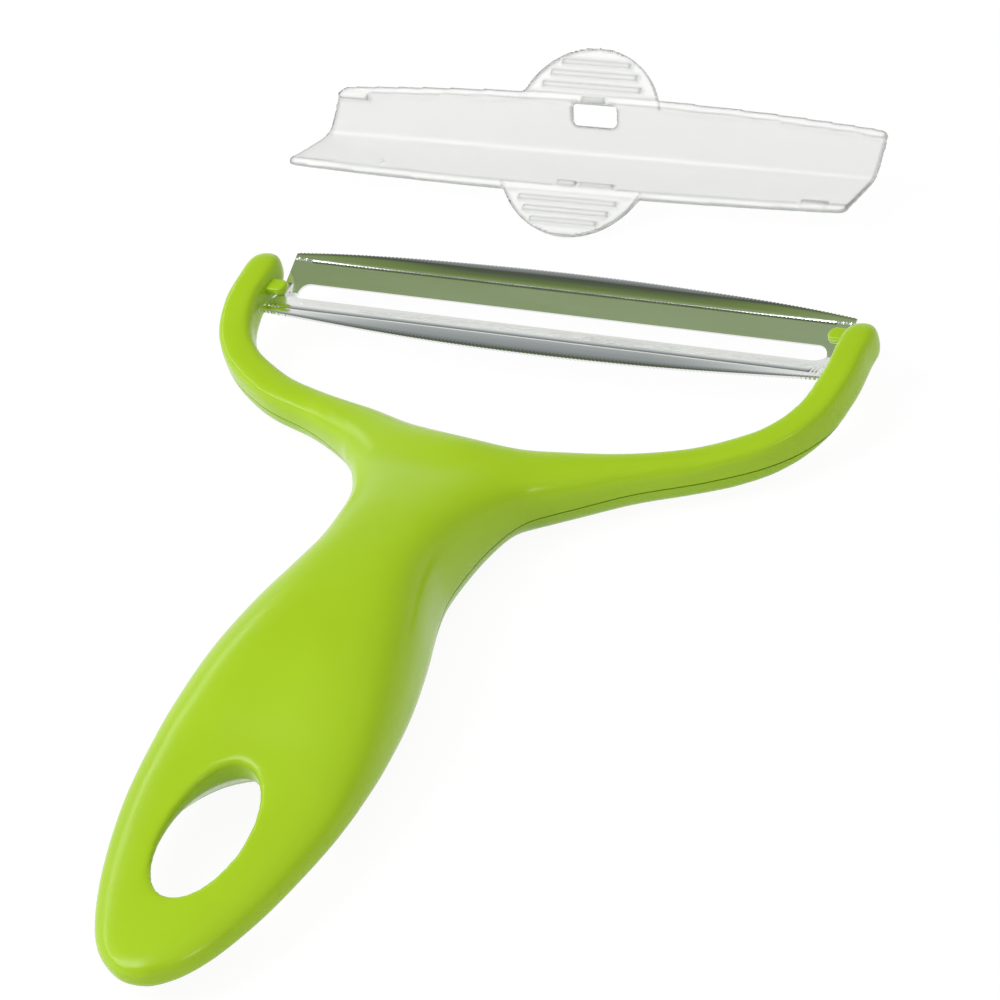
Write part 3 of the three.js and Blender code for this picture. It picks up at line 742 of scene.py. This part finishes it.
# Floor: a plain white table top under the slicer, which keeps a faint contact shadow.
# Rays from the camera, from gloss and through the clear cover see it close to pure white.
FLOOR_GLOW = 0.94
FLOOR_SHADE = 0.08
ground = bmesh.new()
bmesh.ops.create_grid(ground, x_segments=4, y_segments=4, size=3)
bmesh.ops.translate(ground, vec=(0, 0, -0.0003), verts=ground.verts[:])
ground_mesh = bpy.data.meshes.new("floor")
ground.to_mesh(ground_mesh)
ground.free()
floor = new_object("floor", ground_mesh)
white = bpy.data.materials.new("white table")
white.use_nodes = True
nodes = white.node_tree.nodes
links = white.node_tree.links
nodes.remove(nodes["Principled BSDF"])
out = nodes["Material Output"]
rays = nodes.new("ShaderNodeLightPath")
seen = nodes.new("ShaderNodeMath")
seen.operation = "MAXIMUM"
links.new(rays.outputs["Is Camera Ray"], seen.inputs[0])
links.new(rays.outputs["Is Glossy Ray"], seen.inputs[1])
through = nodes.new("ShaderNodeMath")
through.operation = "MAXIMUM"
links.new(seen.outputs["Value"], through.inputs[0])
links.new(rays.outputs["Is Transmission Ray"], through.inputs[1])
shade = nodes.new("ShaderNodeBsdfDiffuse")
shade.inputs["Color"].default_value = (FLOOR_SHADE, FLOOR_SHADE, FLOOR_SHADE, 1)
glow = nodes.new("ShaderNodeEmission")
glow.inputs["Strength"].default_value = FLOOR_GLOW
bright = nodes.new("ShaderNodeAddShader")
links.new(shade.outputs["BSDF"], bright.inputs[0])
links.new(glow.outputs["Emission"], bright.inputs[1])
plain = nodes.new("ShaderNodeBsdfDiffuse")
plain.inputs["Color"].default_value = (0.8, 0.8, 0.8, 1)
pick = nodes.new("ShaderNodeMixShader")
links.new(through.outputs["Value"], pick.inputs["Fac"])
links.new(plain.outputs["BSDF"], pick.inputs[1])
links.new(bright.outputs["Shader"], pick.inputs[2])
links.new(pick.outputs["Shader"], out.inputs["Surface"])
floor.data.materials.append(white)

# Light: an even white room with one large soft lamp from the left, above the tail of the handle.
# A first reflection sees grey and green bands of the room by height, and every later one plain white.
# Two more lamps light nothing by themselves and only draw glints on gloss, such as the handle's edges.
room = bpy.data.worlds.new("white room")
scene.world = room
room.use_nodes = True
nodes = room.node_tree.nodes
links = room.node_tree.links
air = nodes["Background"]
rays = nodes.new("ShaderNodeLightPath")
seen = nodes.new("ShaderNodeMath")
seen.operation = "MAXIMUM"
links.new(rays.outputs["Is Camera Ray"], seen.inputs[0])
links.new(rays.outputs["Is Transmission Ray"], seen.inputs[1])
bright = nodes.new("ShaderNodeMath")
bright.operation = "MAXIMUM"
links.new(seen.outputs["Value"], bright.inputs[0])
links.new(rays.outputs["Is Glossy Ray"], bright.inputs[1])
level = nodes.new("ShaderNodeMapRange")
level.inputs["To Min"].default_value = 0.6
level.inputs["To Max"].default_value = 1.0
links.new(bright.outputs["Value"], level.inputs["Value"])
links.new(level.outputs["Result"], air.inputs["Strength"])
way = nodes.new("ShaderNodeTexCoord")
height = nodes.new("ShaderNodeSeparateXYZ")
links.new(way.outputs["Generated"], height.inputs["Vector"])
bands = nodes.new("ShaderNodeValToRGB")
# Each stop of the bands has a height from level to straight up, and a colour.
band_stops = [
    (0.00, (1.0, 1.0, 1.0)),
    (0.14, (0.95, 0.95, 0.95)),
    (0.25, (0.60, 0.62, 0.62)),
    (0.36, (0.36, 0.39, 0.40)),
    (0.46, (0.25, 0.27, 0.27)),
    (0.56, (0.22, 0.24, 0.24)),
    (0.60, (0.10, 0.11, 0.09)),
    (0.65, (0.06, 0.07, 0.05)),
    (0.70, (0.09, 0.11, 0.07)),
    (0.76, (0.16, 0.23, 0.07)),
    (0.82, (0.19, 0.27, 0.08)),
    (0.90, (0.28, 0.36, 0.20)),
    (0.96, (0.33, 0.41, 0.26)),
    (1.00, (0.36, 0.43, 0.30)),
]
ramp = bands.color_ramp
for inner_stop in band_stops[1:-1]:
    ramp.elements.new(inner_stop[0])
for stop, (place, colour) in zip(ramp.elements, band_stops):
    stop.position = place
    stop.color = colour + (1,)
links.new(height.outputs["Z"], bands.inputs["Fac"])
tone = nodes.new("ShaderNodeMix")
tone.data_type = "RGBA"
tone.inputs[6].default_value = (1, 1, 1, 1)
first = nodes.new("ShaderNodeMath")
first.operation = "LESS_THAN"
first.inputs[1].default_value = 1.5
links.new(rays.outputs["Glossy Depth"], first.inputs[0])
mirrored = nodes.new("ShaderNodeMath")
mirrored.operation = "MULTIPLY"
links.new(rays.outputs["Is Glossy Ray"], mirrored.inputs[0])
links.new(first.outputs["Value"], mirrored.inputs[1])
links.new(mirrored.outputs["Value"], tone.inputs[0])
links.new(bands.outputs["Color"], tone.inputs[7])
links.new(tone.outputs[2], air.inputs["Color"])
lamp = bpy.data.lights.new("soft lamp", "AREA")
lamp.shape = "RECTANGLE"
lamp.size = 0.5
lamp.size_y = 0.7
lamp.energy = 5
key = bpy.data.objects.new("soft lamp", lamp)
scene.collection.objects.link(key)
key.location = (-0.55, -0.25, 0.75)
key.rotation_euler = (Vector((0, 0.02, 0)) - key.location).to_track_quat("-Z", "Y").to_euler()
# Each glint lamp has a name, a place, a width, a length and a power.
glints = [
    ("left glint", (-0.95, 0.15, 0.52), 0.05, 1.1, 1.3),
    ("right glint", (0.62, -0.34, 0.84), 0.16, 0.16, 0.8),
]
for name, place, width, length, power in glints:
    strip_lamp = bpy.data.lights.new(name, "AREA")
    strip_lamp.shape = "RECTANGLE"
    strip_lamp.size = length
    strip_lamp.size_y = width
    strip_lamp.energy = power
    glint = bpy.data.objects.new(name, strip_lamp)
    scene.collection.objects.link(glint)
    facing = Vector(place).normalized()
    along = Vector((0, 1, 0)) - facing * facing.y
    along.normalize()
    turn = Matrix((along, facing.cross(along), facing)).transposed().to_4x4()
    glint.matrix_world = Matrix.Translation(place) @ turn
    glint.visible_diffuse = False

# Camera: the photograph's place, to the right of the handle's axis and well above the table.
# It aims a little to the left of and below the blade's middle, through a long lens, and is rolled.
AZIMUTH = math.radians(36)
ELEVATION = math.radians(37.5)
ROLL = math.radians(-17)
DISTANCE = 1.1111
AIM_LEFT = 0.0094
AIM_DOWN = 0.03126
back = Vector((
    math.sin(AZIMUTH) * math.cos(ELEVATION),
    -math.cos(AZIMUTH) * math.cos(ELEVATION),
    math.sin(ELEVATION),
))
level_right = Vector((math.cos(AZIMUTH), math.sin(AZIMUTH), 0))
level_up = back.cross(level_right)
right = math.cos(ROLL) * level_right + math.sin(ROLL) * level_up
up = -math.sin(ROLL) * level_right + math.cos(ROLL) * level_up
eye = PIVOT * MM + back * DISTANCE
aim = PIVOT * MM - right * AIM_LEFT - up * AIM_DOWN
look = (eye - aim).normalized()
side_way = up.cross(look).normalized()
top_way = look.cross(side_way)
lens = bpy.data.cameras.new("camera")
lens.lens = 232
lens.sensor_width = 36
lens.clip_start = 0.05
camera = bpy.data.objects.new("camera", lens)
scene.collection.objects.link(camera)
turned = Matrix((side_way, top_way, look)).transposed().to_4x4()
camera.matrix_world = Matrix.Translation(eye) @ turned
scene.camera = camera

bpy.context.view_layer.update()
